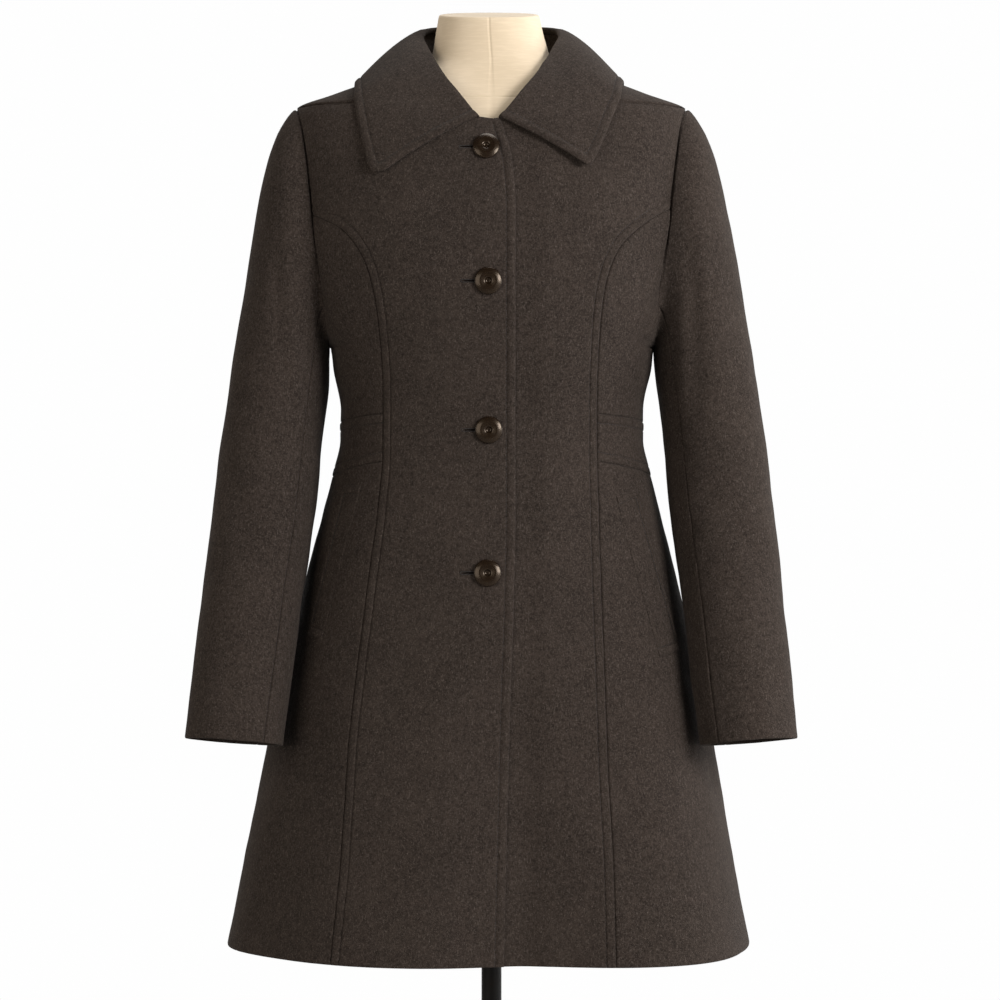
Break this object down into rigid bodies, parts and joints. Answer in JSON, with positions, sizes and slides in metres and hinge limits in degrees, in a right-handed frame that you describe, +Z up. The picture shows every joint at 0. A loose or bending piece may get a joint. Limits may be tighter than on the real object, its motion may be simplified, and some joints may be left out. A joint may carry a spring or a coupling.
{
  "type": "wool coat on limbless dress form and stand",
  "caption": "Single-breasted princess-seam wool coat with turn-down collar, set-in sleeves and welt pockets, on a limbless dress form with pole and round base.",
  "frame": {"origin": "on the floor under the middle of the pole and base", "axes": "+Z up along the pole, coat front faces -Y, +X towards the viewer's right (the wearer's left)"},
  "size_m": [0.5938, 0.38, 1.466],
  "materials": {
    "coat_wool": "felted wool, matt with a faint nap",
    "button_gloss": "polished",
    "form_muslin": "plain woven muslin",
    "stand_black": "semi-gloss black"
  },
  "bodies": {
    "root": {"front_right": "coat_wool", "front_left": "coat_wool", "side_front_chest_right": "coat_wool", "side_front_skirt_right": "coat_wool", "waist_band_front_right": "coat_wool", "side_back_chest_right": "coat_wool", "side_back_skirt_right": "coat_wool", "waist_band_back_right": "coat_wool", "back_right": "coat_wool", "upper_sleeve_right": "coat_wool", "under_sleeve_right": "coat_wool", "side_front_chest_left": "coat_wool", "side_front_skirt_left": "coat_wool", "waist_band_front_left": "coat_wool", "side_back_chest_left": "coat_wool", "side_back_skirt_left": "coat_wool", "waist_band_back_left": "coat_wool", "back_left": "coat_wool", "upper_sleeve_left": "coat_wool", "under_sleeve_left": "coat_wool", "pocket_welt_right": "coat_wool", "pocket_welt_left": "coat_wool", "collar_stand": "coat_wool", "collar_fall": "coat_wool", "button_1": "button_gloss", "button_2": "button_gloss", "button_3": "button_gloss", "button_4": "button_gloss", "form_body": "form_muslin", "pole": "stand_black", "stand_base": "stand_black"}
  },
  "joints": []
}
